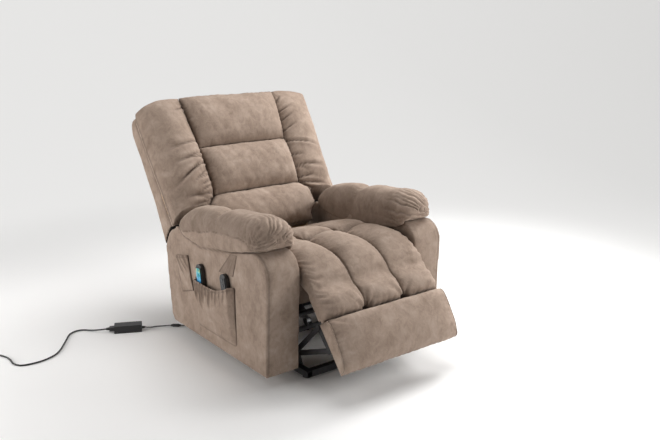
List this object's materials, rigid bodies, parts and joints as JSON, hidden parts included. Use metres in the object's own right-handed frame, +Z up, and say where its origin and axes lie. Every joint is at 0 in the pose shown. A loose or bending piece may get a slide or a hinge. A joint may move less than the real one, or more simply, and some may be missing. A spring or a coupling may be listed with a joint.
{
  "type": "lift recliner chair",
  "caption": "Powered lift and recline armchair with channelled cushions, folding footrest, side pockets with two handsets, and a mains adapter on a lead.",
  "frame": {"origin": "on the floor, under the middle of the chair: midway between the arms and midway between the footrest's front and the back's rearmost point", "axes": "+Z up, +Y to the rear of the chair, so that the chair faces -Y, and +X to the sitter's left; the pockets are on the -X arm"},
  "size_m": [1.7139, 1.3368, 0.9711],
  "materials": {
    "cushion_cloth": "soft brushed upholstery cloth",
    "body_cloth": "soft brushed upholstery cloth",
    "dust_cloth": "plain woven cloth",
    "strap_webbing": "woven elastic webbing",
    "black_steel": "black powder coat, satin",
    "link_steel": "black paint, satin",
    "rod_steel": "bright ground steel",
    "timber": "planed softwood and ply",
    "cloth_on_board": "plywood covered with the upholstery cloth",
    "drive_plastic": "black moulded plastic",
    "slider_plastic": "natural nylon",
    "glide_plastic": "black moulded plastic",
    "handset_plastic": "glossy black plastic",
    "key_teal": "blue-green moulded key",
    "key_grey": "dark grey moulded key",
    "adapter_plastic": "black moulded plastic, fine grain",
    "lead_rubber": "black flexible sheath"
  },
  "bodies": {
    "base": {"base_rails": "black_steel", "base_crossbars": "black_steel", "base_glides": "glide_plastic", "cord_gland": "adapter_plastic", "power_adapter": "adapter_plastic", "mains_connector": "adapter_plastic", "mains_lead": "lead_rubber", "mains_coil": "lead_rubber", "mains_plug": "adapter_plastic", "dc_lead": "lead_rubber", "dc_connector": "adapter_plastic", "dc_tail": "lead_rubber"},
    "lift_main": {"lift_main_links": "link_steel"},
    "lift_upper": {"lift_upper_links": "link_steel"},
    "seat": {"side_plates": "black_steel", "cross_tubes": "black_steel", "seat_box": "timber", "seat_straps": "strap_webbing", "seat_cushion": "cushion_cloth", "seat_front_cover": "dust_cloth", "rear_panel": "dust_cloth", "arm_brackets": "black_steel", "arm_frame_left": "timber", "arm_frame_right": "timber", "arm_shell_left": "body_cloth", "arm_shell_right": "body_cloth", "arm_cushion_left": "cushion_cloth", "arm_cushion_right": "cushion_cloth", "pocket_large": "body_cloth", "pocket_slim": "body_cloth", "pocket_flap": "body_cloth"},
    "lift_case": {"lift_drive_case": "drive_plastic"},
    "lift_rod": {"lift_drive_rod": "rod_steel"},
    "footrest": {"footrest_brackets": "black_steel", "footrest_board": "cloth_on_board", "footrest_roll": "cushion_cloth", "leg_pad": "cushion_cloth"},
    "leg_a1": {"leg_link_a1": "link_steel"},
    "leg_a2": {"leg_link_a2": "link_steel"},
    "leg_b1": {"leg_link_b1": "link_steel"},
    "leg_b2": {"leg_link_b2": "link_steel"},
    "leg_case": {"leg_drive_case": "drive_plastic"},
    "leg_slider": {"leg_drive_slider": "slider_plastic"},
    "back": {"back_frame": "timber", "back_brackets": "black_steel", "back_cover": "body_cloth", "wing_left": "cushion_cloth", "wing_right": "cushion_cloth", "pillow_head": "cushion_cloth", "pillow_middle": "cushion_cloth", "pillow_lumbar": "cushion_cloth"},
    "back_case": {"back_drive_case": "drive_plastic"},
    "back_rod": {"back_drive_rod": "rod_steel"},
    "handset_a": {"handset_a": "handset_plastic"},
    "key_a_up": {"handset_a_key_up": "key_teal"},
    "key_a_down": {"handset_a_key_down": "key_teal"},
    "handset_b": {"handset_b": "handset_plastic"},
    "key_b_up": {"handset_b_key_up": "key_grey"},
    "key_b_down": {"handset_b_key_down": "key_grey"}
  },
  "joints": [
    {"name": "lift", "type": "hinge", "parent": "base", "child": "lift_main", "pos_m": [0, -0.29821, 0.083], "axis": [1, 0, 0], "range_deg": [0, 65]},
    {"name": "lift_seat_tilt", "type": "hinge", "parent": "lift_main", "child": "seat", "pos_m": [0, 0.04669, 0.0762], "axis": [1, 0, 0], "range_deg": [-42, 1]},
    {"name": "lift_upper_link", "type": "hinge", "parent": "base", "child": "lift_upper", "pos_m": [0, -0.23401, 0.1222], "axis": [1, 0, 0], "range_deg": [-1, 59]},
    {"name": "lift_case_swing", "type": "hinge", "parent": "seat", "child": "lift_case", "pos_m": [0, 0.06917, 0.29002], "axis": [1, 0, 0], "range_deg": [-1, 22]},
    {"name": "lift_rod_swing", "type": "hinge", "parent": "lift_main", "child": "lift_rod", "pos_m": [0, -0.16361, 0.1209], "axis": [1, 0, 0], "range_deg": [-22, 1]},
    {"name": "footrest", "type": "hinge", "parent": "seat", "child": "footrest", "pos_m": [0, -0.43851, 0.473], "axis": [-1, 0, 0], "range_deg": [-32, 55]},
    {"name": "leg_link_a1_swing", "type": "hinge", "parent": "seat", "child": "leg_a1", "pos_m": [0, -0.22651, 0.39], "axis": [-1, 0, 0], "range_deg": [-33, 56]},
    {"name": "leg_link_a2_swing", "type": "hinge", "parent": "leg_a1", "child": "leg_a2", "pos_m": [0, -0.32551, 0.082], "axis": [-1, 0, 0], "range_deg": [-56, 33]},
    {"name": "leg_link_b1_swing", "type": "hinge", "parent": "seat", "child": "leg_b1", "pos_m": [0, -0.30451, 0.338], "axis": [-1, 0, 0], "range_deg": [-33, 56]},
    {"name": "leg_link_b2_swing", "type": "hinge", "parent": "leg_b1", "child": "leg_b2", "pos_m": [0, -0.34551, 0.102], "axis": [-1, 0, 0], "range_deg": [-56, 33]},
    {"name": "leg_case_swing", "type": "hinge", "parent": "seat", "child": "leg_case", "pos_m": [0, -0.07244, 0.31816], "axis": [-1, 0, 0], "range_deg": [-17, 28.5]},
    {"name": "leg_slider_swing", "type": "hinge", "parent": "leg_a1", "child": "leg_slider", "pos_m": [0, -0.25603, 0.22258], "axis": [-1, 0, 0], "range_deg": [-28.5, 17]},
    {"name": "back_recline", "type": "hinge", "parent": "seat", "child": "back", "pos_m": [0, 0.23449, 0.322], "axis": [-1, 0, 0], "range_deg": [-16, 33]},
    {"name": "back_case_swing", "type": "hinge", "parent": "seat", "child": "back_case", "pos_m": [0, 0.03525, 0.30457], "axis": [-1, 0, 0], "range_deg": [-9, 17.5]},
    {"name": "back_rod_swing", "type": "hinge", "parent": "back", "child": "back_rod", "pos_m": [0, 0.28625, 0.12882], "axis": [-1, 0, 0], "range_deg": [-17.5, 9]},
    {"name": "handset_a_lift_out", "type": "slide", "parent": "seat", "child": "handset_a", "axis": [0, 0.1392, 0.9903], "range_m": [0, 0.06]},
    {"name": "handset_a_key_up", "type": "slide", "parent": "handset_a", "child": "key_a_up", "axis": [1, 0, 0], "range_m": [0, 0.0012], "stiffness_N_per_m": 450},
    {"name": "handset_a_key_down", "type": "slide", "parent": "handset_a", "child": "key_a_down", "axis": [1, 0, 0], "range_m": [0, 0.0012], "stiffness_N_per_m": 450},
    {"name": "handset_b_lift_out", "type": "slide", "parent": "seat", "child": "handset_b", "axis": [0, 0.2079, 0.9781], "range_m": [0, 0.06]},
    {"name": "handset_b_key_up", "type": "slide", "parent": "handset_b", "child": "key_b_up", "axis": [1, 0, 0], "range_m": [0, 0.0012], "stiffness_N_per_m": 450},
    {"name": "handset_b_key_down", "type": "slide", "parent": "handset_b", "child": "key_b_down", "axis": [1, 0, 0], "range_m": [0, 0.0012], "stiffness_N_per_m": 450}
  ],
  "couplings": [
    {"joint": "lift_seat_tilt", "follows": "lift", "ratio": -0.63077},
    {"joint": "lift_upper_link", "follows": "lift", "ratio": 0.89},
    {"joint": "lift_case_swing", "follows": "lift", "ratio": 0.31538},
    {"joint": "lift_rod_swing", "follows": "lift", "ratio": -0.31538},
    {"joint": "leg_link_a1_swing", "follows": "footrest", "ratio": 1},
    {"joint": "leg_link_a2_swing", "follows": "footrest", "ratio": -1},
    {"joint": "leg_link_b1_swing", "follows": "footrest", "ratio": 1},
    {"joint": "leg_link_b2_swing", "follows": "footrest", "ratio": -1},
    {"joint": "leg_case_swing", "follows": "footrest", "ratio": 0.5},
    {"joint": "leg_slider_swing", "follows": "footrest", "ratio": -0.5},
    {"joint": "back_case_swing", "follows": "back_recline", "ratio": 0.5},
    {"joint": "back_rod_swing", "follows": "back_recline", "ratio": -0.5}
  ]
}
